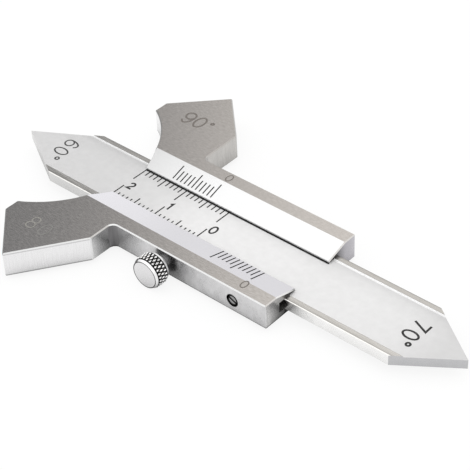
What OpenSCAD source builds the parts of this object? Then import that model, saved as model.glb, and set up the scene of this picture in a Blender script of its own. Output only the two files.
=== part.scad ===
// Weld gauge: a flat vernier slide in a milled body with two angled wings.
// X runs along the slide, Y across it, Z up from the back face.
// The origin lies on the back face, on the slide's centre line, under the zero line of the throat vernier.

/* [Slide beam] */
// Distance from the feeler tip to the zero line of the scales
tip_to_zero = 45.6; // [40:0.1:60]
// Length over both tips
beam_length = 99; // [90:0.5:130]
// Width over the two ground lands
beam_width = 14.2; // [12:0.1:18]
// Thickness at the lands
beam_thickness = 2; // [1.6:0.1:3]
// Included angle of the tip that feels the weld
feeler_tip_angle = 60; // [50:1:75]
// Included angle of the tip at the other end
groove_tip_angle = 70; // [55:1:90]
// Width of the ground land along each long edge
land_width = 1.15; // [0.6:0.05:1.6]
// Depth of the satin scale field below the lands
field_depth = 0.2; // [0.1:0.05:0.3]
// Offset of that field from the centre line, towards the far wing
field_offset = 0.15; // [0:0.05:0.3]

/* [Graduations] */
// Reading set on the throat scale, in millimetres
reading = 4.9; // [0:0.1:20]
// Range of both scales, in millimetres
scale_range = 20; // [10:5:25]
// Width of an engraved line
line_width = 0.26; // [0.1:0.02:0.3]
// Depth of an engraved line
line_depth = 0.08; // [0.04:0.02:0.1]
// Gap between the centre line and the end of a ten millimetre line
long_line_end = 1.2; // [0.8:0.1:1.6]
// Gap between the centre line and the end of a five millimetre line
middle_line_end = 2.25; // [1.8:0.05:2.6]
// Gap between the centre line and the end of a one millimetre line
short_line_end = 3.2; // [2.8:0.1:3.6]
// Divisions of a vernier, laid over one millimetre less
vernier_divisions = 10; // [5:5:15]
// Distance from the lip's edge to the outer end of the first, middle and last vernier lines
vernier_long_end = 3.75; // [3.2:0.05:4.2]
// Distance from the lip's edge to the outer end of the other vernier lines
vernier_short_end = 2.75; // [2.2:0.05:3]
// Distance from the lip's edge to the inner end of the throat vernier's lines
throat_vernier_margin = 0.5; // [0.2:0.05:1]

/* [Body] */
// Thickness from the back face to the top flats
body_thickness = 5; // [4.6:0.1:7]
// Thickness of the web behind the slide
web_thickness = 1.3; // [0.8:0.1:2]
// Length from the wings' noses to the right end of the rails
body_length = 52.1; // [46:0.1:70]
// Thickness of the wall that holds the screws
screw_wall = 3.4; // [2.6:0.1:5]
// Width of each rail's top flat
flat_width = 2.8; // [1.8:0.05:3]
// Opening between the two bevelled lips
lip_opening = 8.9; // [7:0.1:9.4]
// Offset of that opening from the centre line, towards the far wing
lip_offset = 0.2; // [0:0.05:0.4]
// Height of a lip's edge
lip_edge = 0.25; // [0.25:0.05:0.4]
// Small chamfer that breaks the body's outer edges
edge_break = 0.2; // [0.1:0.05:0.2]

/* [Wings] */
// Distance from the corner of the two contact faces to the wings' noses
vernier_offset = 20.6; // [19:0.1:24]
// Distance of the far wing's corner from the centre line
far_reach = 29.5; // [26:0.1:36]
// Distance of the near wing's corner from the centre line
near_reach = 29.5; // [26:0.1:36]
// Angle of the far wing's corner
far_corner_angle = 90; // [85:1:95]
// Angle of the near wing's corner
near_corner_angle = 80; // [75:1:85]
// Length of a wing along the slide, from its nose to its shoulder
wing_length = 17.6; // [16:0.1:22]
// Radius of the arc between the wings
arc_radius = 20.2; // [19.5:0.1:23]
// Distance from the noses to the deepest point of the arc
arc_depth = 10.5; // [9:0.1:11]
// Radius in the corner between a wing's shoulder and its rail
shoulder_fillet = 1.2; // [0.6:0.1:2]

/* [Gib and screws] */
// Running clearance of the sliding faces and of the screws in their holes
clearance = 0.05; // [0.02:0.01:0.1]
// Thickness of the gib strip
gib_thickness = 1.2; // [0.8:0.1:1.6]
// Length of the gib strip
gib_length = 36; // [28:0.5:38]
// Distance of the gib's end from the right end of the rails
gib_recess = 2.4; // [1:0.1:4]
// Distance of the lock screw from the right end of the rails
lock_screw_from_end = 22.9; // [14:0.1:26]
// Radius of the lock screw's shank
lock_shank_radius = 1.25; // [0.9:0.05:1.5]
// Free length of the shank between the wall and the head
lock_standoff = 1.2; // [0.6:0.1:3]
// Radius over the knurl of the lock screw's head
knurl_radius = 3.05; // [2.8:0.05:3.6]
// Radius of the head's flat face
face_radius = 2.6; // [2.2:0.05:2.7]
// Length of the lock screw's head
head_length = 3.2; // [2.6:0.1:5]
// Length of the smooth chamfer at each end of the head
head_chamfer = 0.45; // [0.3:0.05:0.6]
// Depth of the knurl
knurl_depth = 0.26; // [0.1:0.02:0.3]
// Number of diamonds round the head
knurl_count = 26; // [18:1:40]
// Number of rows of diamonds along the head, each half a diamond behind the last
knurl_rows = 3; // [2:1:6]
// Distance of the set screw from the right end of the rails
set_screw_from_end = 7.2; // [5:0.1:10]
// Radius of the set screw
set_screw_radius = 1.2; // [0.9:0.05:1.5]
// Depth of the set screw's head below the wall's surface
set_screw_recess = 0.1; // [0.1:0.05:1]
// Length of the chamfer round the set screw's head
set_screw_chamfer = 0.3; // [0.1:0.05:0.3]
// Width of the set screw's slot
driver_slot_width = 0.4; // [0.3:0.05:0.7]
// Depth of the set screw's slot
driver_slot_depth = 0.7; // [0.4:0.1:1]
// Angle of the slot, falling towards the right end
driver_slot_angle = 24; // [0:1:90]
// Depth of the set screw's point in the gib
point_depth = 0.4; // [0.2:0.05:0.6]

/* [Hidden] */
$fn = 96;

// Length by which a cutting shape runs past the surface it cuts
overrun = 1;

// Places along the slide
apex_x = -tip_to_zero;
nose_x = apex_x + vernier_offset;
shoulder_x = nose_x + wing_length;
end_x = nose_x + body_length;
arc_x = nose_x + arc_depth - arc_radius;
lock_screw_x = end_x - lock_screw_from_end;
set_screw_x = end_x - set_screw_from_end;

// Places across the slide, as distances from the centre line
beam_edge = beam_width / 2;
field_edge = beam_edge - land_width;
slot_far = beam_edge + clearance;
gib_face = beam_edge + clearance;
gib_back = gib_face + gib_thickness;
slot_near = gib_back + clearance;
rail_half = slot_near + screw_wall;
flat_edge = rail_half - flat_width;
lip_far = lip_opening / 2 + lip_offset;
lip_near = lip_opening / 2 - lip_offset;
head_back = rail_half + lock_standoff;

// Heights above the back face
beam_bottom = web_thickness + clearance;
beam_top = beam_bottom + beam_thickness;
slot_top = beam_top + clearance;
lip_top = slot_top + lip_edge;
screw_z = (web_thickness + slot_top) / 2;
bevel_rise = body_thickness - lip_top;
function bevel_angle(lip_y) = atan2(bevel_rise, flat_edge - lip_y);

// Corners of the wings: the contact faces slope at 45 degrees from the apex
nose_inner = sqrt(pow(arc_radius, 2) - pow(nose_x - arc_x, 2));
nose_outer = nose_x - apex_x;
function wing_corner(reach) = [apex_x + reach, reach];
function wing_shoulder(reach, angle) =
    [shoulder_x, reach - (shoulder_x - apex_x - reach) * tan(135 - angle)];

// The wing's outline from its nose to its shoulder, on the far side of the slide
function wing_outline(reach, angle) = [
    [nose_x, nose_inner],
    [nose_x, nose_outer],
    wing_corner(reach),
    wing_shoulder(reach, angle),
    [shoulder_x, rail_half + shoulder_fillet],
];

// Wedge that breaks the edge between a wall facing +X and the surface above it
module edge_wedge() {
    inner = edge_break + overrun;
    polygon([[-inner, overrun], [overrun, overrun], [overrun, -inner]]);
}

// Wedges that break the edges of a wall facing +X, at the back face and at the top
module edge_wedges() {
    mirror([0, 1])
        edge_wedge();
    translate([0, body_thickness])
        edge_wedge();
}

// Breaks both edges of the wall from start to end, whose outside lies to the left
module edge_cutter(start, end, before_start, past_end) {
    run = end - start;
    translate([start[0], start[1], 0])
        rotate([0, 0, atan2(run[1], run[0])])
            translate([-before_start, 0, 0])
                rotate([90, 0, 90])
                    linear_extrude(norm(run) + before_start + past_end)
                        edge_wedges();
}

// Breaks the upright edge at a corner between two walls
module corner_cutter(before, corner, after) {
    a = (before - corner) * edge_break / norm(before - corner);
    b = (after - corner) * edge_break / norm(after - corner);
    translate([corner[0], corner[1], -overrun])
        linear_extrude(body_thickness + 2 * overrun)
            polygon([2 * a - b, 2 * b - a, -a - b]);
}

// Breaks the right end's edge along the far bevel, which rises from lip_y
module bevel_end_cutter(lip_y) {
    bevel_length = norm([flat_edge - lip_y, bevel_rise]);
    translate([end_x, lip_y, lip_top])
        rotate([bevel_angle(lip_y), 0, 0])
            translate([0, bevel_length + overrun, 0])
                rotate([90, 0, 0])
                    linear_extrude(bevel_length + 2 * overrun)
                        edge_wedge();
}

// Round cutter for a concave arc, flared at both faces to break its edges
module arc_cutter(radius) {
    flare = radius + edge_break + overrun;
    rotate_extrude()
        polygon([
            [0, -overrun],
            [flare, -overrun],
            [radius, edge_break],
            [radius, body_thickness - edge_break],
            [flare, body_thickness + overrun],
            [0, body_thickness + overrun],
        ]);
}

// One wing, drawn on the far side
module wing(reach, angle) {
    outline = wing_outline(reach, angle);
    inner = [[shoulder_x, 0], [arc_x, 0]];
    linear_extrude(body_thickness)
        polygon(concat(outline, inner));
    // Pad that the shoulder's fillet is cut from
    translate([shoulder_x - overrun, rail_half - overrun, 0])
        cube([shoulder_fillet + overrun, shoulder_fillet + overrun, body_thickness]);
}

// Fillet and broken edges of one wing and its rail, drawn on the far side
module wing_cuts(reach, angle) {
    outline = wing_outline(reach, angle);
    last = len(outline) - 1;
    rail_start = [shoulder_x + shoulder_fillet, rail_half];
    rail_end = [end_x, rail_half];
    translate([rail_start[0], rail_half + shoulder_fillet, 0])
        arc_cutter(shoulder_fillet);
    for (i = [1 : last])
        edge_cutter(outline[i - 1], outline[i], overrun, i == last ? 0 : overrun);
    for (i = [1 : last - 1])
        corner_cutter(outline[i - 1], outline[i], outline[i + 1]);
    edge_cutter(rail_start, rail_end, 0, overrun);
    corner_cutter(rail_start, rail_end, [end_x, 0]);
}

// Section of the channel that the beam and the gib run in, open between the lips
module channel_section() {
    mouth_far = flat_edge + overrun * (flat_edge - lip_far) / bevel_rise;
    mouth_near = flat_edge + overrun * (flat_edge - lip_near) / bevel_rise;
    polygon([
        [-slot_near, web_thickness],
        [slot_far, web_thickness],
        [slot_far, slot_top],
        [lip_far, slot_top],
        [lip_far, lip_top],
        [mouth_far, body_thickness + overrun],
        [-mouth_near, body_thickness + overrun],
        [-lip_near, lip_top],
        [-lip_near, slot_top],
        [-slot_near, slot_top],
    ]);
}

// Channel along the whole body
module channel_cut() {
    start_x = arc_x;
    translate([start_x, 0, 0])
        rotate([90, 0, 90])
            linear_extrude(end_x + overrun - start_x)
                channel_section();
}

// Plain hole through the screw wall into the channel
module screw_hole(x, radius) {
    translate([x, -slot_near + clearance, screw_z])
        rotate([90, 0, 0])
            cylinder(r = radius + clearance, h = screw_wall + overrun);
}

// Vernier lines on the far bevel, which rises from lip_y, counted from zero_x towards the noses
module vernier_lines(zero_x, lip_y, margin) {
    step = (vernier_divisions - 1) / vernier_divisions;
    for (i = [0 : vernier_divisions]) {
        outer = i % (vernier_divisions / 2) == 0 ? vernier_long_end : vernier_short_end;
        translate([zero_x - i * step, lip_y, lip_top])
            rotate([bevel_angle(lip_y), 0, 0])
                translate([-line_width / 2, margin, -line_depth])
                    cube([line_width, outer - margin, line_depth + overrun]);
    }
}

// Milled body: two rails with bevelled lips, the web behind the slide, and the two wings
module body() {
    color([0.66, 0.65, 0.63])
        difference() {
            union() {
                translate([arc_x, -rail_half, 0])
                    cube([end_x - arc_x, 2 * rail_half, body_thickness]);
                wing(far_reach, far_corner_angle);
                mirror([0, 1, 0])
                    wing(near_reach, near_corner_angle);
            }
            translate([arc_x, 0, 0])
                arc_cutter(arc_radius);
            wing_cuts(far_reach, far_corner_angle);
            mirror([0, 1, 0])
                wing_cuts(near_reach, near_corner_angle);
            channel_cut();
            edge_cutter([end_x, rail_half], [end_x, -rail_half], overrun, overrun);
            bevel_end_cutter(lip_far);
            mirror([0, 1, 0])
                bevel_end_cutter(lip_near);
            screw_hole(lock_screw_x, lock_shank_radius);
            screw_hole(set_screw_x, set_screw_radius);
            vernier_lines(0, lip_far, throat_vernier_margin);
            // The height vernier's lines run out over the lip's edge
            mirror([0, 1, 0])
                vernier_lines(vernier_offset, lip_near, -line_depth);
        }
}

// Plan of the beam, with its zero line at x = 0
module beam_plan() {
    feeler_run = beam_edge / tan(feeler_tip_angle / 2);
    groove_run = beam_edge / tan(groove_tip_angle / 2);
    feeler_x = -tip_to_zero;
    groove_x = beam_length - tip_to_zero;
    polygon([
        [feeler_x, 0],
        [feeler_x + feeler_run, -beam_edge],
        [groove_x - groove_run, -beam_edge],
        [groove_x, 0],
        [groove_x - groove_run, beam_edge],
        [feeler_x + feeler_run, beam_edge],
    ]);
}

// One scale on the far half of the beam, out to the field's edge, from its zero towards the feeler tip
module scale_lines(outer) {
    for (i = [0 : scale_range]) {
        inner = i % 10 == 0 ? long_line_end : i % 5 == 0 ? middle_line_end : short_line_end;
        translate([-i - line_width / 2, inner, beam_top - field_depth - line_depth])
            cube([line_width, outer - inner, line_depth + overrun]);
    }
}

// Slide beam with ground lands, a satin scale field and a tip at each end
module beam() {
    color([0.86, 0.86, 0.86])
        translate([reading, 0, 0])
            difference() {
                translate([0, 0, beam_bottom])
                    linear_extrude(beam_thickness)
                        beam_plan();
                translate([-beam_length, field_offset - field_edge, beam_top - field_depth])
                    cube([2 * beam_length, 2 * field_edge, field_depth + overrun]);
                scale_lines(field_edge + field_offset);
                mirror([0, 1, 0])
                    scale_lines(field_edge - field_offset);
            }
}

// Gib strip between the beam's edge and the screw wall, with a dimple for the set screw's point
module gib_strip() {
    color([0.6, 0.58, 0.55])
        difference() {
            translate([end_x - gib_recess - gib_length, -gib_back, beam_bottom])
                cube([gib_length, gib_thickness, beam_thickness]);
            translate([set_screw_x, -gib_back, screw_z])
                rotate([-90, 0, 0])
                    cylinder(r1 = point_depth + clearance, r2 = 0, h = point_depth + clearance);
        }
}

// A ring of the knurl: diamonds peak where the ring's and the point's numbers add up to an odd sum
function knurl_ring(row, y, low, high) = [
    for (i = [0 : 2 * knurl_count - 1])
        let (radius = (i + row) % 2 == 1 ? high : low)
            let (turn = 180 * i / knurl_count)
                [radius * cos(turn), y, radius * sin(turn)]
];

// Head with a diamond knurl, drawn along -Y from its back at y = 0
module knurled_head() {
    around = 2 * knurl_count;
    root = knurl_radius - knurl_depth;
    row_step = (head_length - 2 * head_chamfer) / knurl_rows;
    back = knurl_ring(0, 0, face_radius, face_radius);
    back_edge = knurl_ring(0, -head_chamfer, root, root);
    rows = [
        for (j = [0 : knurl_rows - 1])
            knurl_ring(j, -head_chamfer - (j + 0.5) * row_step, root, knurl_radius)
    ];
    front_edge = knurl_ring(0, head_chamfer - head_length, root, root);
    front = knurl_ring(0, -head_length, face_radius, face_radius);
    rings = concat([back, back_edge], rows, [front_edge, front]);
    points = [for (ring = rings) for (point = ring) point];
    last = len(rings) - 1;
    walls = [
        for (j = [0 : last - 1])
            for (i = [0 : around - 1])
                let (a = j * around + i)
                    let (b = j * around + (i + 1) % around)
                        let (c = b + around)
                            let (d = a + around)
                                each (i + j) % 2 == 1 ? [[d, b, a], [d, c, b]] : [[c, b, a], [d, c, a]]
    ];
    caps = [
        [for (i = [0 : around - 1]) i],
        [for (i = [around - 1 : -1 : 0]) last * around + i],
    ];
    polyhedron(points, concat(walls, caps));
}

// Lock screw: knurled head and plain shank through the screw wall, up to the gib
module lock_screw() {
    shank_length = head_back - gib_back - clearance;
    color([0.78, 0.78, 0.78])
        translate([lock_screw_x, -head_back, screw_z]) {
            knurled_head();
            rotate([-90, 0, 0])
                cylinder(r = lock_shank_radius, h = shank_length);
        }
}

// Slotted set screw, sunk in the wall, with a point that holds the gib lengthwise
module set_screw() {
    head_y = -rail_half + set_screw_recess;
    tip_y = -gib_back - clearance;
    plain_length = tip_y - head_y - set_screw_chamfer;
    face_edge = set_screw_radius - set_screw_chamfer;
    slot_half = set_screw_radius + overrun;
    color([0.4, 0.4, 0.4])
        translate([set_screw_x, 0, screw_z])
            difference() {
                union() {
                    translate([0, tip_y, 0])
                        rotate([90, 0, 0])
                            cylinder(r = set_screw_radius, h = plain_length);
                    translate([0, tip_y - plain_length, 0])
                        rotate([90, 0, 0])
                            cylinder(r1 = set_screw_radius, r2 = face_edge, h = set_screw_chamfer);
                    translate([0, tip_y, 0])
                        rotate([-90, 0, 0])
                            cylinder(r1 = point_depth, r2 = 0, h = point_depth);
                }
                rotate([0, driver_slot_angle, 0])
                    translate([-slot_half, head_y - overrun, -driver_slot_width / 2])
                        cube([2 * slot_half, driver_slot_depth + overrun, driver_slot_width]);
            }
}

body();
beam();
gib_strip();
lock_screw();
set_screw();
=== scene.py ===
"""Looks of the weld gauge: ground, bevelled and satin steel, black engraved marks, a white studio."""
import math

import bmesh
import bpy
from mathutils import Matrix, Vector


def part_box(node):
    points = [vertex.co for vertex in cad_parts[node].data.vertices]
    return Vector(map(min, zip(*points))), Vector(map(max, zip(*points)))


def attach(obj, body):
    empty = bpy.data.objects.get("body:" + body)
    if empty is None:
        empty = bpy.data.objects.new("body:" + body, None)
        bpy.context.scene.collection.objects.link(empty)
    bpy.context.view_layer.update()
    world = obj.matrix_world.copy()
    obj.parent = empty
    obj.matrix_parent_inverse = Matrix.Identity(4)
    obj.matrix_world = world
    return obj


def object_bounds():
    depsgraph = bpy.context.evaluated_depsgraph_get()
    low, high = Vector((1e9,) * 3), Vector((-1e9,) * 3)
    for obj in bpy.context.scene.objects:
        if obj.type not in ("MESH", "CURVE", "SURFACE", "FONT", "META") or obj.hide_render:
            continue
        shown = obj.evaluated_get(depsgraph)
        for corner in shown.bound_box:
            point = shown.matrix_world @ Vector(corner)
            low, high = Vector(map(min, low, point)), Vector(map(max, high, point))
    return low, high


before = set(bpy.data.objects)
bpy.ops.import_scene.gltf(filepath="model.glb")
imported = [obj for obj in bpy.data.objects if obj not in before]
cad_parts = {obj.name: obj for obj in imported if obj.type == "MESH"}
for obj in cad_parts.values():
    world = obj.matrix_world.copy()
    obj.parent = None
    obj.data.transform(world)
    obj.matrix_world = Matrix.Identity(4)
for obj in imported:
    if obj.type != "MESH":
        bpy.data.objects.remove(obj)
cad_box = [list(corner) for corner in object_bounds()]

MM = 0.001

# Camera, fitted to the scales, tips, wings and rails: degrees, metres, and pixels of the photo
CAMERA_AZIMUTH = 42.78
CAMERA_ELEVATION = 39.19
CAMERA_ROLL = -2.65
CAMERA_DISTANCE = 267.5 * MM
CAMERA_AIM = Vector((9.94, 0.37, 3.35)) * MM
CLIP_START = 10 * MM
FOCAL_PIXELS = 1561.2
PHOTO_SIDE = 470
SENSOR_WIDTH = 36.0

# Heights and places of the gauge's faces, in millimetres
FIELD_DEPTH = 0.2
FAR_LAND = 1.0
NEAR_LAND = 1.3
ZERO_FROM_TIP = 45.6
beam_low, beam_high = (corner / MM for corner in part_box("beam"))
BODY_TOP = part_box("body")[1].z / MM
BEAM_TOP = beam_high.z
FIELD_TOP = BEAM_TOP - FIELD_DEPTH
FIELD_FAR = beam_high.y - FAR_LAND
FIELD_NEAR = beam_low.y + NEAR_LAND
BEAM_ZERO = beam_low.x + ZERO_FROM_TIP
BEVEL_FOOT = 3.65
FLAT_EDGE = 9.0
LIP_FAR = 4.65
LIP_NEAR = 4.25
SLOT_TOP = 3.4
RAIL_HALF = 11.8
SHOULDER = -7.4
SCREW_HEIGHT = 2.35
LOCK_SCREW = 4.2
SET_SCREW = 19.9
HOLE_END = -8.0
HEAD_BACK = -13.0
HEAD_FRONT = -16.2
HEAD_CHAMFER = 0.45

# Reaches that take in a whole feature, a little more than its radius or depth, in millimetres
FILLET_REACH = 1.2
HOLE_REACH = 1.35
SHANK_REACH = 1.4
SET_FACE_REACH = 0.3
GROOVE_REACH = 0.15

# Allowances for telling faces apart, in millimetres
CLOSE = 0.01
GROOVE_LEAST = 0.015
NEARBY = 0.02
BACK_MARGIN = 0.05
LIP_MARGIN = 0.1

# Shares of a face's normal along an axis, from a face square to it to one that barely leans that way
LEVEL = 0.99
STRAIGHT = 0.95
SQUARE = 0.9
HALF = 0.5
LEANING = 0.3
SLIGHT = 0.2

# Sockets of the Mix node, whose names repeat: both inputs and the result, for colours and for vectors
COLOUR_FIRST, COLOUR_SECOND, COLOUR_RESULT = 6, 7, 2
VECTOR_FIRST, VECTOR_SECOND, VECTOR_RESULT = 4, 5, 1

# Stretch in which most values of a noise lie
NOISE_LOW, NOISE_HIGH = 0.3, 0.7


# Node helpers

def grey(value):
    """A colour without hue."""
    return (value, value, value)


def new_material(name):
    """A node material with its output and a principled shader."""
    material = bpy.data.materials.new(name)
    material.use_nodes = True
    tree = material.node_tree
    shader = tree.nodes["Principled BSDF"]
    return material, tree, shader


def add_noise(tree, stretch):
    """Noise in the object's own coordinates; stretch gives features per millimetre along each axis."""
    coordinates = tree.nodes.new("ShaderNodeTexCoord")
    mapping = tree.nodes.new("ShaderNodeMapping")
    mapping.inputs["Scale"].default_value = [value / MM for value in stretch]
    noise = tree.nodes.new("ShaderNodeTexNoise")
    noise.inputs["Scale"].default_value = 1.0
    noise.inputs["Detail"].default_value = 3.0
    tree.links.new(coordinates.outputs["Object"], mapping.inputs["Vector"])
    tree.links.new(mapping.outputs["Vector"], noise.inputs["Vector"])
    return noise.outputs["Fac"]


def add_ramp(tree, factor, low, high, start=NOISE_LOW, end=NOISE_HIGH):
    """Colours from low to high as factor runs from start to end."""
    ramp = tree.nodes.new("ShaderNodeValToRGB")
    ramp.color_ramp.elements[0].position = start
    ramp.color_ramp.elements[1].position = end
    ramp.color_ramp.elements[0].color = (*low, 1)
    ramp.color_ramp.elements[1].color = (*high, 1)
    tree.links.new(factor, ramp.inputs["Fac"])
    return ramp.outputs["Color"]


def add_range(tree, factor, low, high, start=NOISE_LOW, end=NOISE_HIGH):
    """A number that eases from low to high as factor runs from start to end."""
    span = tree.nodes.new("ShaderNodeMapRange")
    span.interpolation_type = "SMOOTHSTEP"
    span.inputs["From Min"].default_value = start
    span.inputs["From Max"].default_value = end
    span.inputs["To Min"].default_value = low
    span.inputs["To Max"].default_value = high
    tree.links.new(factor, span.inputs["Value"])
    return span.outputs["Result"]


def add_place(tree, axis):
    """Place along one axis of the object's own coordinates, in metres."""
    coordinates = tree.nodes.new("ShaderNodeTexCoord")
    split = tree.nodes.new("ShaderNodeSeparateXYZ")
    tree.links.new(coordinates.outputs["Object"], split.inputs[0])
    return split.outputs[axis]


def add_grades(tree, place, grades):
    """A grey that runs through grades, each a place in millimetres and a brightness."""
    start, end = grades[0][0], grades[-1][0]
    span = tree.nodes.new("ShaderNodeMapRange")
    span.inputs["From Min"].default_value = start * MM
    span.inputs["From Max"].default_value = end * MM
    ramp = tree.nodes.new("ShaderNodeValToRGB")
    stops = ramp.color_ramp.elements
    while len(stops) < len(grades):
        stops.new(1.0)
    for stop, (at, brightness) in zip(stops, grades):
        stop.position = (at - start) / (end - start)
        stop.color = (*grey(brightness), 1)
    tree.links.new(place, span.inputs["Value"])
    tree.links.new(span.outputs["Result"], ramp.inputs["Fac"])
    return ramp.outputs["Color"]


def add_axis_distance(tree, x):
    """Distance in millimetres from the axis of the screw at x, which runs along Y."""
    coordinates = tree.nodes.new("ShaderNodeTexCoord")
    offset = tree.nodes.new("ShaderNodeVectorMath")
    offset.operation = "SUBTRACT"
    offset.inputs[1].default_value = (x * MM, 0, SCREW_HEIGHT * MM)
    across = tree.nodes.new("ShaderNodeVectorMath")
    across.operation = "MULTIPLY"
    across.inputs[1].default_value = (1 / MM, 0, 1 / MM)
    length = tree.nodes.new("ShaderNodeVectorMath")
    length.operation = "LENGTH"
    tree.links.new(coordinates.outputs["Object"], offset.inputs[0])
    tree.links.new(offset.outputs[0], across.inputs[0])
    tree.links.new(across.outputs[0], length.inputs[0])
    return length.outputs["Value"]


def add_bump(tree, shader, height, depth):
    """Bump of the given depth in millimetres."""
    bump = tree.nodes.new("ShaderNodeBump")
    bump.inputs["Distance"].default_value = depth * MM
    tree.links.new(height, bump.inputs["Height"])
    tree.links.new(bump.outputs["Normal"], shader.inputs["Normal"])


def multiply_colours(tree, first, second):
    """The product of two colour sockets."""
    mix = tree.nodes.new("ShaderNodeMix")
    mix.data_type = "RGBA"
    mix.blend_type = "MULTIPLY"
    mix.inputs[0].default_value = 1.0
    tree.links.new(first, mix.inputs[COLOUR_FIRST])
    tree.links.new(second, mix.inputs[COLOUR_SECOND])
    return mix.outputs[COLOUR_RESULT]


def combine(tree, operation, first, second):
    """The sum, product or maximum of two numbers, each a socket or a constant."""
    node = tree.nodes.new("ShaderNodeMath")
    node.operation = operation
    for value, socket in zip((first, second), node.inputs):
        if isinstance(value, float):
            socket.default_value = value
        else:
            tree.links.new(value, socket)
    return node.outputs[0]


def mix_shaders(tree, share, first, second):
    """First shader where share, a socket or a constant, is 0, and second where it is 1."""
    mix = tree.nodes.new("ShaderNodeMixShader")
    if isinstance(share, float):
        mix.inputs["Fac"].default_value = share
    else:
        tree.links.new(share, mix.inputs["Fac"])
    tree.links.new(first, mix.inputs[1])
    tree.links.new(second, mix.inputs[2])
    return mix.outputs[0]


# Directions of the tool marks, as features per millimetre along each axis
ALONG_SLIDE = (0.4, 5.0, 5.0)
FINE_GRAIN = (1.1, 5.0, 5.0)
BLOTCHES = (0.8, 0.8, 0.6)
UPRIGHT = (5.0, 5.0, 0.5)
SOFT_UPRIGHT = (1.6, 1.6, 0.3)
EVEN = (6.0, 6.0, 6.0)

# Roughness of the finishes, and the depth of the marks of grinding in millimetres
POLISHED = (0.18, 0.24)
FINE_MILLED = (0.16, 0.24)
MILLED = (0.20, 0.28)
TURNED = (0.24, 0.32)
WORN = (0.30, 0.38)
DULL = (0.30, 0.40)
OILED = (0.35, 0.45)
SATIN = (0.40, 0.50)
MATT = (0.50, 0.60)
PAINT_ROUGHNESS = 0.6
GRIND_DEPTH = 0.0003


# Kinds of material

def steel(name, colour, contrast, roughness, stretch, bump_depth=0.0, grades=None, metallic=1.0, matt=None):
    """Bare steel with tool marks, drawn out by stretch, that vary its colour and its roughness.

    Grades, by axis, paint shade and light on it. Matt, which is grades along Y, gives its metallic share."""
    material, tree, shader = new_material(name)
    shader.inputs["Metallic"].default_value = metallic
    if matt:
        tree.links.new(add_grades(tree, add_place(tree, "Y"), matt), shader.inputs["Metallic"])
    marks = add_noise(tree, stretch)
    low = [value * (1 - contrast) for value in colour]
    high = [value * (1 + contrast) for value in colour]
    shade = add_ramp(tree, marks, low, high)
    for axis, stops in (grades or {}).items():
        shade = multiply_colours(tree, shade, add_grades(tree, add_place(tree, axis), stops))
    tree.links.new(shade, shader.inputs["Base Color"])
    tree.links.new(add_range(tree, marks, *roughness), shader.inputs["Roughness"])
    if bump_depth:
        add_bump(tree, shader, marks, bump_depth)
    return material


def turned_steel(name, x, inside, outside, ring, roughness):
    """Steel of the screw at x, whose colour goes from inside to outside between the two radii of ring."""
    material, tree, shader = new_material(name)
    shader.inputs["Metallic"].default_value = 1.0
    share = add_range(tree, add_axis_distance(tree, x), 0.0, 1.0, *ring)
    tree.links.new(add_ramp(tree, share, inside, outside, 0.0, 1.0), shader.inputs["Base Color"])
    tree.links.new(add_range(tree, add_noise(tree, EVEN), *roughness), shader.inputs["Roughness"])
    return material


def paint(name, low, high):
    """Matt fill of the engraved lines."""
    material, tree, shader = new_material(name)
    shader.inputs["Roughness"].default_value = PAINT_ROUGHNESS
    tree.links.new(add_ramp(tree, add_noise(tree, EVEN), low, high), shader.inputs["Base Color"])
    return material


def dress(node, materials, pick):
    """Gives every face of a CAD node the material that pick(normal, centre in millimetres) names."""
    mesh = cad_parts[node].data
    mesh.materials.clear()
    for material in materials.values():
        mesh.materials.append(material)
    order = list(materials)
    for face in mesh.polygons:
        face.material_index = order.index(pick(face.normal, face.center / MM))


# Paints of the engraved marks, and two steels that more than one piece has
line_paint = paint("engraved_line", grey(0.008), grey(0.016))
tip_paint = paint("tip_mark", grey(0.03), grey(0.06))
faint_paint = paint("worn_mark", (0.11, 0.095, 0.085), (0.20, 0.18, 0.165))
pale_paint = paint("rubbed_mark", (0.18, 0.175, 0.16), (0.32, 0.31, 0.29))
ghost_paint = paint("ghost_mark", (0.168, 0.166, 0.16), (0.228, 0.224, 0.216))
# Both near black, as painted shade: the slot under the lips, the screw holes and the screws' hidden faces
channel_steel = steel("channel", grey(0.05), 0.20, OILED, ALONG_SLIDE)
dark_steel = steel("dark_recess", grey(0.025), 0.20, SATIN, EVEN)


# Body: top flats, bevels, engraved verniers, walls, broken edges, holes and the channel

# Brightness of a wall by height: painted shade at its foot near the floor, and darker near its top
WALL_FOOT = ((0.2, 0.35), (0.5, 0.97), (1.5, 1.0))
WALL_TOP = ((4.5, 1.0), (4.65, 0.7), (4.8, 0.7))

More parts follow.
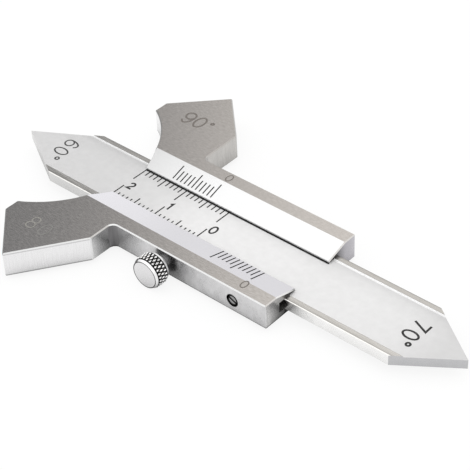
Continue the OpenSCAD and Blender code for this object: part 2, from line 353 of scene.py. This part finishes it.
# Each steel has a name, a colour, the contrast of its tool marks, a roughness and the marks' direction
BODY_LOOKS = {
    "flat": steel("ground_flat", (0.665, 0.648, 0.632), 0.09, (0.14, 0.19), FINE_GRAIN, GRIND_DEPTH),
    # Painted reflection: both polished bevels brighten or darken along X, as they would mirror the studio
    "far_bevel": steel(
        "far_bevel", grey(1.0), 0.012, POLISHED, ALONG_SLIDE,
        grades={"X": ((-16, 0.63), (-11, 0.69), (-5, 0.745), (2, 0.80))}),
    "near_bevel": steel(
        "near_bevel", (1.0, 0.993, 1.04), 0.015, POLISHED, ALONG_SLIDE,
        grades={"X": ((-16, 0.83), (-5, 0.78), (3, 0.72), (25, 0.71))}),
    "line": line_paint,
    # The broken edges are one steel in lit and shaded copies, picked by which way each faces
    "edge": steel("broken_edge", grey(0.74), 0.05, MILLED, EVEN),
    "wing_edge": steel("wing_edge", grey(0.66), 0.05, WORN, EVEN),
    # Painted shade: darker towards the near lip's tip, beside the slot
    "lip_end": steel(
        "lip_end", grey(1.0), 0.05, MILLED, EVEN,
        grades={"Y": ((-9, 0.86), (-6.2, 0.82), (-5.2, 0.66), (-4.5, 0.35))}),
    "shaded_edge": steel("shaded_edge", (0.25, 0.247, 0.243), 0.10, MATT, EVEN),
    "half_shaded_edge": steel("half_shaded_edge", (0.52, 0.51, 0.50), 0.05, DULL, EVEN),
    # Painted shade: the edges on the underside, next to the floor, are near black
    "under_edge": steel("under_edge", grey(0.07), 0.20, DULL, EVEN),
    # Painted shade: the screw holes are near black
    "hole": dark_steel,
    "lip": steel("lip_edge", grey(0.70), 0.05, SATIN, EVEN),
    # Painted shade: the inner corner between wing and rail is dark, easing to its neighbours at its sides
    "fillet": steel(
        "fillet_wall", (0.29, 0.285, 0.29), 0.06, (0.38, 0.46), BLOTCHES,
        grades={"Z": WALL_FOOT,
                "X": ((-7.4, 1.5), (-7.3, 1.0), (-7.12, 0.68), (-6.9, 0.75), (-6.6, 1.0), (-6.4, 1.5))}),
    # Painted shade: the slot under the lips is near black, and its floor darker than the other steels
    "channel": channel_steel,
    "slot_floor": steel("slot_floor", (0.50, 0.49, 0.475), 0.08, WORN, ALONG_SLIDE),
    # Painted shade on the rails' end faces: near black beside the slot, and the near one dark at its foot
    "near_end": steel(
        "near_end", (1.0, 0.99, 0.98), 0.10, MILLED, BLOTCHES,
        grades={"Y": ((-11.7, 0.74), (-11, 0.85), (-10.4, 0.70), (-8.6, 0.42), (-7.4, 0.36), (-6.8, 0.06),
                      (-4, 0.03)),
                "Z": ((0.2, 0.12), (0.55, 0.85), (1.5, 1.0))}),
    "far_end": steel(
        "far_end", (1.0, 0.975, 1.03), 0.06, MILLED, BLOTCHES,
        grades={"Y": ((4.6, 0.02), (6.4, 0.04), (7.6, 0.24), (9, 0.44), (11.8, 0.54))}),
    # The walls are one milled steel; their different greys, by which way each faces, are painted light and
    # shade
    "far_wall": steel("far_wall", (0.535, 0.52, 0.50), 0.08, MILLED, SOFT_UPRIGHT),
    "wing_wall": steel(
        "wing_wall", (0.85, 0.845, 0.85), 0.045, FINE_MILLED, UPRIGHT,
        grades={"Z": WALL_FOOT + WALL_TOP}),
    # Painted shade: the near shoulder darkens towards the rail
    "shoulder": steel(
        "shoulder_wall", grey(1.0), 0.08, MILLED, UPRIGHT,
        grades={"Y": ((-17.1, 0.82), (-15.5, 0.62), (-14, 0.45), (-13, 0.40))}),
    "rail_wall": steel(
        "rail_wall", (0.67, 0.665, 0.67), 0.10, (0.25, 0.33), BLOTCHES,
        grades={"Z": WALL_FOOT}),
}


def bevel_height(y):
    """Height of the bevel's surface above the back face, at a place across the slide."""
    lip = LIP_FAR if y > 0 else LIP_NEAR
    return BEVEL_FOOT + (abs(y) - lip) * (BODY_TOP - BEVEL_FOOT) / (FLAT_EDGE - lip)


def bevel_face(normal, centre):
    """Look of a bevel or of the vernier lines in it, and None elsewhere."""
    lip = LIP_FAR if centre.y > 0 else LIP_NEAR
    over_bevel = lip - LIP_MARGIN < abs(centre.y) < FLAT_EDGE and centre.z > BEVEL_FOOT - GROOVE_REACH
    if not over_bevel or normal.x >= HALF:
        return None
    depth = bevel_height(centre.y) - centre.z
    if depth > GROOVE_LEAST and (abs(normal.x) > SQUARE or normal.z > HALF):
        return "line"
    if normal.z > HALF:
        return "far_bevel" if centre.y > 0 else "near_bevel"
    return None


def flat_face(normal, centre):
    """Look of the top flats and the back, and None elsewhere."""
    in_slot = BACK_MARGIN < centre.z < SLOT_TOP + CLOSE
    return "flat" if abs(normal.z) > LEVEL and not in_slot else None


def edge_face(normal, centre):
    """Look of a broken edge round the top or the back, and None elsewhere."""
    # Painted light and shade: an edge's grey is picked by the way it faces
    if -SQUARE < normal.z < -LEANING:
        return "under_edge"
    if not LEANING < normal.z < SQUARE:
        return None
    if normal.x < -SLIGHT or (normal.y > LEANING and normal.x < SLIGHT):
        return "shaded_edge"
    if normal.x > HALF and centre.x > 0 and -FLAT_EDGE < centre.y < -LIP_NEAR:
        return "lip_end"
    if centre.x < SHOULDER and centre.y < -RAIL_HALF:
        return "wing_edge"
    return "half_shaded_edge" if normal.x > HALF and centre.x < 0 < centre.y else "edge"


def inner_face(normal, centre):
    """Look of the screw holes and of the slot's floor, walls and lips, and None elsewhere."""
    screw = min((LOCK_SCREW, SET_SCREW), key=lambda x: abs(centre.x - x))
    distance = math.hypot(centre.x - screw, centre.z - SCREW_HEIGHT)
    if distance < HOLE_REACH and abs(normal.y) < HALF and centre.y < HOLE_END:
        return "hole"
    if abs(centre.y) >= FLAT_EDGE or abs(normal.x) >= LEANING:
        return None
    if normal.z > SQUARE:
        return "slot_floor"
    on_lip = abs(centre.y) < LIP_FAR + LIP_MARGIN and centre.z > SLOT_TOP
    return "lip" if on_lip else "channel"


def wall_face(normal, centre):
    """Look of an outer wall."""
    if centre.y < 0 < centre.x and normal.x > SQUARE:
        return "near_end"
    if centre.y > 0 and centre.x > 0 and normal.x > HALF:
        return "far_end"
    if 0 < -RAIL_HALF - centre.y < FILLET_REACH and 0 < centre.x - SHOULDER < FILLET_REACH:
        return "fillet"
    if centre.x < 0 and normal.x > HALF:
        if centre.y > 0:
            return "far_wall"
        return "shoulder" if normal.x > STRAIGHT else "wing_wall"
    return "wing_wall" if centre.x < SHOULDER else "rail_wall"


def body_face(normal, centre):
    """Look of any face of the body: the first kind that fits."""
    for kind in (bevel_face, flat_face, edge_face, inner_face):
        look = kind(normal, centre)
        if look:
            return look
    return wall_face(normal, centre)


dress("body", BODY_LOOKS, body_face)


# Beam: ground lands, satin field, engraved scales and side walls

BEAM_LOOKS = {
    # Painted highlight and shade: a matt white stripe on the near land's outer edge, dark lines at the
    # lands' edges
    "land": steel(
        "ground_land", (0.68, 0.672, 0.652), 0.05, (0.24, 0.30), ALONG_SLIDE, GRIND_DEPTH,
        matt=((-7.1, 0.0), (-6.9, 0.0), (-6.82, 1.0)),
        grades={"Y": ((-7.1, 1.4), (-6.9, 1.4), (-6.82, 0.62), (-6.55, 0.92), (-6.0, 1.0), (-5.8, 0.78),
                      (-5.7, 1.0), (6.05, 1.0), (6.1, 0.60), (6.25, 0.88), (6.85, 0.88), (7.1, 0.50))}),
    # Painted light: the satin field fades towards both ends along X
    # Painted shade under the far lip, and a painted highlight beside the far land's step
    "field": steel(
        "satin_field", (1.0, 1.0, 1.004), 0.025, (0.46, 0.56), BLOTCHES, metallic=0.15,
        grades={"X": ((-45, 0.62), (-20, 0.63), (-13, 0.65), (-8, 0.67), (-3, 0.73), (3, 0.785), (20, 0.78),
                      (27, 0.755), (38, 0.75), (46, 0.72), (54, 0.62)),
                "Y": ((-5.8, 1.0), (1.5, 1.01), (4.4, 0.95), (5.7, 0.86), (5.85, 1.1), (6.1, 1.2))}),
    # Painted highlight: the field's step is a matt near-white, a bright line between field and land
    "step": steel("field_step", grey(0.98), 0.01, MATT, EVEN, metallic=0.0),
    "line": line_paint,
    # Painted light: the beam's walls darken towards the left along X
    "wall": steel(
        "beam_wall", (1.0, 0.995, 0.985), 0.03, MILLED, BLOTCHES,
        grades={"X": ((-30, 0.69), (-15, 0.70), (25, 0.96), (50, 0.97))}),
    # Painted shade: the tips' walls that face right are a darker copy of the beam's wall steel
    "tip_wall": steel("tip_wall", (0.55, 0.55, 0.56), 0.04, FINE_MILLED, BLOTCHES),
}


def beam_face(normal, centre):
    """Look of any face of the beam."""
    if normal.z < -HALF or (normal.z > SQUARE and centre.z > BEAM_TOP - CLOSE):
        return "land"
    if normal.z > SQUARE:
        return "field" if centre.z > FIELD_TOP - CLOSE else "line"
    if centre.z > FIELD_TOP and abs(normal.y) > SQUARE:
        return "step"
    within_field = FIELD_NEAR + CLOSE < centre.y < FIELD_FAR - CLOSE
    if within_field and FIELD_TOP - GROOVE_REACH < centre.z < FIELD_TOP:
        return "line"
    return "tip_wall" if normal.x > LEANING else "wall"


dress("beam", BEAM_LOOKS, beam_face)


# Gib strip and the two screws

GIB_LOOKS = {
    "side": steel("gib", (0.34, 0.33, 0.32), 0.10, OILED, ALONG_SLIDE),
    # Painted shade: the gib's ends, in the slot, are near black
    "end": steel("gib_end", grey(0.09), 0.10, OILED, EVEN),
}

# Radii between which a screw's colour changes: painted shade in a dark ring near the edge of both faces and
# in the valleys of the knurl
HEAD_RING = (2.38, 2.46)
KNURL_VALLEY = (2.87, 2.91)
SET_RING = (0.70, 0.78)

LOCK_SCREW_LOOKS = {
    "face": turned_steel("head_face", LOCK_SCREW, (0.78, 0.775, 0.78), grey(0.03), HEAD_RING, MILLED),
    "rim": steel("head_rim", grey(0.88), 0.03, (0.14, 0.20), EVEN),
    "knurl": turned_steel("head_knurl", LOCK_SCREW, grey(0.012), grey(0.92), KNURL_VALLEY, (0.18, 0.26)),
    "shank": steel("screw_shank", grey(0.34), 0.10, TURNED, EVEN),
    # Painted shade: the back of the head, against the wall, is near black
    "back": channel_steel,
}
SET_SCREW_LOOKS = {
    "face": turned_steel("set_screw_face", SET_SCREW, grey(0.34), grey(0.02), SET_RING, TURNED),
    "dark": dark_steel,
}


def gib_face(normal, centre):
    """Look of any face of the gib strip."""
    return "end" if abs(normal.x) > SQUARE else "side"


def lock_screw_face(normal, centre):
    """Look of any face of the lock screw."""
    distance = math.hypot(centre.x - LOCK_SCREW, centre.z - SCREW_HEIGHT)
    if distance < SHANK_REACH and centre.y > HEAD_BACK:
        return "shank"
    if normal.y < -STRAIGHT:
        return "face"
    if normal.y > STRAIGHT:
        return "back"
    on_knurl = HEAD_FRONT + HEAD_CHAMFER <= centre.y <= HEAD_BACK - HEAD_CHAMFER
    return "knurl" if on_knurl else "rim"


def set_screw_face(normal, centre):
    """Look of any face of the set screw: only its outer end is bright."""
    return "face" if normal.y < -STRAIGHT and centre.y < SET_FACE_REACH - RAIL_HALF else "dark"


dress("gib_strip", GIB_LOOKS, gib_face)
dress("lock_screw", LOCK_SCREW_LOOKS, lock_screw_face)
dress("set_screw", SET_SCREW_LOOKS, set_screw_face)


# Engraved numerals, drawn as single strokes in a cell one unit high and centred on the origin

def arc(centre, radii, start, end, steps):
    """Points along an ellipse from start to end, in degrees."""
    points = []
    for i in range(steps + 1):
        turn = math.radians(start + (end - start) * i / steps)
        points.append((centre[0] + radii[0] * math.cos(turn), centre[1] + radii[1] * math.sin(turn)))
    return points


GLYPHS = {
    "0": [arc((0, 0), (0.30, 0.5), 0, 360, 28)],
    "1": [[(-0.18, 0.30), (0.06, 0.5), (0.06, -0.5)]],
    "2": [arc((0, 0.22), (0.28, 0.28), 170, -35, 14) + [(-0.30, -0.5), (0.32, -0.5)]],
    "6": [arc((0, -0.20), (0.30, 0.30), 0, 360, 24), arc((0.02, -0.10), (0.32, 0.60), 185, 45, 12)],
    "7": [[(-0.30, 0.5), (0.30, 0.5), (-0.12, -0.5)]],
    "8": [arc((0, 0.25), (0.25, 0.25), 0, 360, 22), arc((0, -0.24), (0.29, 0.26), 0, 360, 22)],
    "9": [arc((0, 0.20), (0.30, 0.30), 0, 360, 24), arc((-0.02, 0.10), (0.32, 0.60), 5, -135, 12)],
    "deg": [arc((0, 0), (0.13, 0.13), 0, 360, 16)],
}

# Height of a mark above its surface, and of each further stroke above the one before, in millimetres
MARK_PROUD = 0.006
STROKE_STEP = 0.002

# Gap in the glyph's cell under which a stroke counts as closed, and the limit of a corner's mitre
CLOSED_GAP = 1e-6
MITRE_LIMIT = 0.4

EAST = (1, 0, 0)
NORTH = (0, 1, 0)
SOUTH = (0, -1, 0)


def stroke_mesh(mesh, points, width, to_frame):
    """Adds one flat stroke of the given width, with its ends squared, to a bmesh."""
    closed = (Vector(points[0]) - Vector(points[-1])).length < CLOSED_GAP
    if closed:
        points = points[:-1]
    count = len(points)
    left, right = [], []
    for i in range(count):
        here = Vector(points[i])
        back = Vector(points[i - 1]) if closed or i > 0 else None
        ahead = Vector(points[(i + 1) % count]) if closed or i < count - 1 else None
        before = (here - back).normalized() if back is not None else (ahead - here).normalized()
        after = (ahead - here).normalized() if ahead is not None else before
        along = (before + after).normalized()
        side = Vector((-along.y, along.x)) * (width / 2) / max(along.dot(before), MITRE_LIMIT)
        left.append(mesh.verts.new(to_frame(here + side)))
        right.append(mesh.verts.new(to_frame(here - side)))
    for i in range(count if closed else count - 1):
        j = (i + 1) % count
        mesh.faces.new((right[i], right[j], left[j], left[i]))


def add_piece(name, mesh, material):
    """A new object from a bmesh, which is freed."""
    data = bpy.data.meshes.new(name)
    mesh.to_mesh(data)
    mesh.free()
    piece = bpy.data.objects.new(name, data)
    bpy.context.scene.collection.objects.link(piece)
    data.materials.append(material)
    return piece


def mark(name, glyph, body, centre, height, right, up, stroke, material):
    """One engraved numeral: centre in millimetres, right and up along the surface it lies on."""
    right = Vector(right).normalized()
    up = Vector(up).normalized()
    out = right.cross(up)
    place = Vector(centre) + out * MARK_PROUD

    def to_frame(point):
        return (place + right * point.x * height + up * point.y * height) * MM

    mesh = bmesh.new()
    for points in GLYPHS[glyph]:
        stroke_mesh(mesh, points, stroke / height, to_frame)
        place += out * STROKE_STEP
    piece = add_piece(name, mesh, material)
    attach(piece, body)


# Numerals of the scales, in centimetres: glyph, place from the beam's zero line, height and stroke
for glyph, x, y, height, stroke in (
        ("0", 1.13, -0.78, 1.90, 0.36),
        ("1", -9.28, -0.64, 1.85, 0.36),
        ("2", -18.78, -0.55, 1.65, 0.37)):
    place = (BEAM_ZERO + x, y, FIELD_TOP)
    mark("scale_" + glyph, glyph, "slide", place, height, EAST, NORTH, stroke, line_paint)

# Numerals of the two tips: name, glyph and place from the beam's zero line
TIP60_HEIGHT, TIP60_STROKE = 2.92, 0.31
TIP70_HEIGHT, TIP70_STROKE = 2.85, 0.40
for name, glyph, x, y in (
        ("tip60_6", "6", -36.45, 1.76),
        ("tip60_0", "0", -36.45, -1.0),
        ("tip60_deg", "deg", -35.42, -3.05)):
    place = (BEAM_ZERO + x, y, FIELD_TOP)
    mark(name, glyph, "slide", place, TIP60_HEIGHT, SOUTH, EAST, TIP60_STROKE, tip_paint)
for name, glyph, x, y in (
        ("tip70_7", "7", 43.12, 1.86),
        ("tip70_0", "0", 43.04, -0.92),
        ("tip70_deg", "deg", 44.02, -2.93)):
    place = (BEAM_ZERO + x, y, FIELD_TOP)
    mark(name, glyph, "slide", place, TIP70_HEIGHT, SOUTH, EAST, TIP70_STROKE, line_paint)

# Numerals of the wings' corners and of the vernier zeros: name, glyph, place, height, stroke and paint
for name, glyph, x, y, height, stroke, material in (
        ("wing90_9", "9", -18.24, 19.67, 3.3, 0.38, faint_paint),
        ("wing90_0", "0", -15.57, 19.77, 3.2, 0.38, faint_paint),
        ("wing90_deg", "deg", -13.37, 20.81, 2.0, 0.38, faint_paint),
        ("wing80_8", "8", -18.2, -20.25, 3.0, 0.24, pale_paint),
        ("wing80_0", "0", -15.13, -20.41, 3.0, 0.24, ghost_paint),
        ("vernier_zero_far", "0", 0.08, 10.28, 1.8, 0.22, faint_paint),
        ("vernier_zero_near", "0", 20.9, -9.74, 1.8, 0.22, faint_paint)):
    mark(name, glyph, "gauge_body", (x, y, BODY_TOP), height, EAST, NORTH, stroke, material)


# Painted shadow: a black strip in the gap under the far lip

GAP_SHADOW_WIDTH = 0.22


def on_far_lip(point):
    """True for a corner of the body on the upright edge of its far lip."""
    return abs(point.y - LIP_FAR) < NEARBY and SLOT_TOP - NEARBY < point.z < BEVEL_FOOT


def make_gap_shadow():
    """A strip of painted shadow on the beam's field and up to the lip, as long as the lip is."""
    corners = [vertex.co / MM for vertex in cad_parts["body"].data.vertices]
    along = [corner.x for corner in corners if on_far_lip(corner)]
    low, high = FIELD_TOP + MARK_PROUD, SLOT_TOP - MARK_PROUD
    profile = ((LIP_FAR - GAP_SHADOW_WIDTH, low), (LIP_FAR, low), (LIP_FAR, high))
    mesh = bmesh.new()
    rows = [[mesh.verts.new(Vector((x, y, z)) * MM) for y, z in profile] for x in (min(along), max(along))]
    for i in range(len(profile) - 1):
        mesh.faces.new((rows[0][i], rows[1][i], rows[1][i + 1], rows[0][i + 1]))
    # The strip takes the black paint of the engraved lines
    shadow_strip = add_piece("lip_gap_shadow", mesh, line_paint)
    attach(shadow_strip, "gauge_body")


make_gap_shadow()


# Studio: white floor that keeps a soft shadow, white background, banded soft light

FLOOR_SIDE = 6.0
FLOOR_GAP = 0.02 * MM
FLOOR_COLOUR = 0.95
FLOOR_SHADOW = 0.14
SHADE_REACH = 5 * MM
SHADE_SAMPLES = 4
SHADE_DARKEST = 0.2

# Light of the world: a sky and a grey band in it; a pair is a stretch of the direction's height or side
SKY_LOW, SKY_HIGH = 1.0, 1.3
SKY_RISE = (0.2, 0.75)
BAND_FOOT = (0.26, 0.46)
BAND_TOP = (0.68, 0.80)
BAND_BEHIND = (0.0, 0.3)
BAND_SLANT = 0.48
BAND_MIDDLE = (-0.405, -0.155)
BAND_LEFT = (0.24, 0.24, 0.245)
BAND_RIGHT = (0.92, 0.88, 0.84)


def add_contact_shade(tree):
    """Brightness of the floor in reflections, which falls off under the object and close beside it."""
    nearness = tree.nodes.new("ShaderNodeAmbientOcclusion")
    nearness.samples = SHADE_SAMPLES
    nearness.inputs["Distance"].default_value = SHADE_REACH
    return add_range(tree, nearness.outputs["AO"], SHADE_DARKEST, 1.0, SHADE_DARKEST, 1.0)


def make_floor():
    """White floor: the camera sees it with a soft shadow, and reflections with a contact shade."""
    bpy.ops.mesh.primitive_plane_add(size=FLOOR_SIDE, location=(0, 0, cad_box[0][2] - FLOOR_GAP))
    floor = bpy.context.object
    floor.name = "floor"
    material, tree, shader = new_material("floor_white")
    output = tree.nodes["Material Output"]
    tree.nodes.remove(shader)
    diffuse = tree.nodes.new("ShaderNodeBsdfDiffuse")
    diffuse.inputs["Color"].default_value = (*grey(FLOOR_COLOUR), 1)
    white = tree.nodes.new("ShaderNodeEmission")
    reflected = tree.nodes.new("ShaderNodeEmission")
    tree.links.new(add_contact_shade(tree), reflected.inputs["Strength"])
    path = tree.nodes.new("ShaderNodeLightPath")
    mirrored = combine(tree, "MAXIMUM", path.outputs["Is Glossy Ray"], path.outputs["Is Transmission Ray"])
    unseen = mix_shaders(tree, mirrored, diffuse.outputs[0], reflected.outputs[0])
    seen = mix_shaders(tree, 1 - FLOOR_SHADOW, diffuse.outputs[0], white.outputs[0])
    both = mix_shaders(tree, path.outputs["Is Camera Ray"], unseen, seen)
    tree.links.new(both, output.inputs["Surface"])
    floor.data.materials.append(material)


def make_world():
    """A bright horizon and top, and at the back, between them, a grey band that is darkest to the left."""
    world = bpy.data.worlds.new("studio")
    bpy.context.scene.world = world
    world.use_nodes = True
    tree = world.node_tree
    output = tree.nodes["World Output"]
    sky = tree.nodes["Background"]
    coordinates = tree.nodes.new("ShaderNodeTexCoord")
    split = tree.nodes.new("ShaderNodeSeparateXYZ")
    tree.links.new(coordinates.outputs["Generated"], split.inputs[0])
    x, y, z = split.outputs
    rising = add_range(tree, z, 0.0, 1.0, *BAND_FOOT)
    falling = add_range(tree, z, 1.0, 0.0, *BAND_TOP)
    behind = add_range(tree, y, 0.0, 1.0, *BAND_BEHIND)
    band = combine(tree, "MULTIPLY", combine(tree, "MULTIPLY", rising, falling), behind)
    across = combine(tree, "ADD", x, combine(tree, "MULTIPLY", y, BAND_SLANT))
    rightness = add_range(tree, across, 0.0, 1.0, *BAND_MIDDLE)
    band_colour = add_ramp(tree, rightness, BAND_LEFT, BAND_RIGHT, 0.0, 1.0)
    bright = add_range(tree, z, SKY_LOW, SKY_HIGH, *SKY_RISE)
    sky_colour = tree.nodes.new("ShaderNodeCombineXYZ")
    for socket in sky_colour.inputs:
        tree.links.new(bright, socket)
    level = tree.nodes.new("ShaderNodeMix")
    level.data_type = "VECTOR"
    tree.links.new(band, level.inputs[0])
    tree.links.new(sky_colour.outputs[0], level.inputs[VECTOR_FIRST])
    tree.links.new(band_colour, level.inputs[VECTOR_SECOND])
    tree.links.new(level.outputs[VECTOR_RESULT], sky.inputs["Color"])
    white = tree.nodes.new("ShaderNodeBackground")
    white.inputs["Color"].default_value = (*grey(1), 1)
    path = tree.nodes.new("ShaderNodeLightPath")
    both = mix_shaders(tree, path.outputs["Is Camera Ray"], sky.outputs[0], white.outputs[0])
    tree.links.new(both, output.inputs["Surface"])


def make_camera():
    """The photo's camera: it looks at the aim from its azimuth and elevation, rolled about its axis."""
    azimuth = math.radians(CAMERA_AZIMUTH)
    elevation = math.radians(CAMERA_ELEVATION)
    roll = math.radians(CAMERA_ROLL)
    level_right = Vector((math.cos(azimuth), math.sin(azimuth), 0))
    level_back = Vector((math.sin(azimuth), -math.cos(azimuth), 0))
    back = level_back * math.cos(elevation) + Vector((0, 0, math.sin(elevation)))
    level_up = back.cross(level_right)
    right = level_right * math.cos(roll) + level_up * math.sin(roll)
    up = back.cross(right)
    data = bpy.data.cameras.new("camera")
    data.sensor_width = SENSOR_WIDTH
    data.lens = FOCAL_PIXELS / PHOTO_SIDE * SENSOR_WIDTH
    data.clip_start = CLIP_START
    camera = bpy.data.objects.new("camera", data)
    bpy.context.scene.collection.objects.link(camera)
    turn = Matrix((right, up, back)).transposed().to_4x4()
    camera.matrix_world = Matrix.Translation(CAMERA_AIM + back * CAMERA_DISTANCE) @ turn
    bpy.context.scene.camera = camera


make_floor()
make_world()
make_camera()
bpy.context.scene.view_settings.view_transform = "Standard"
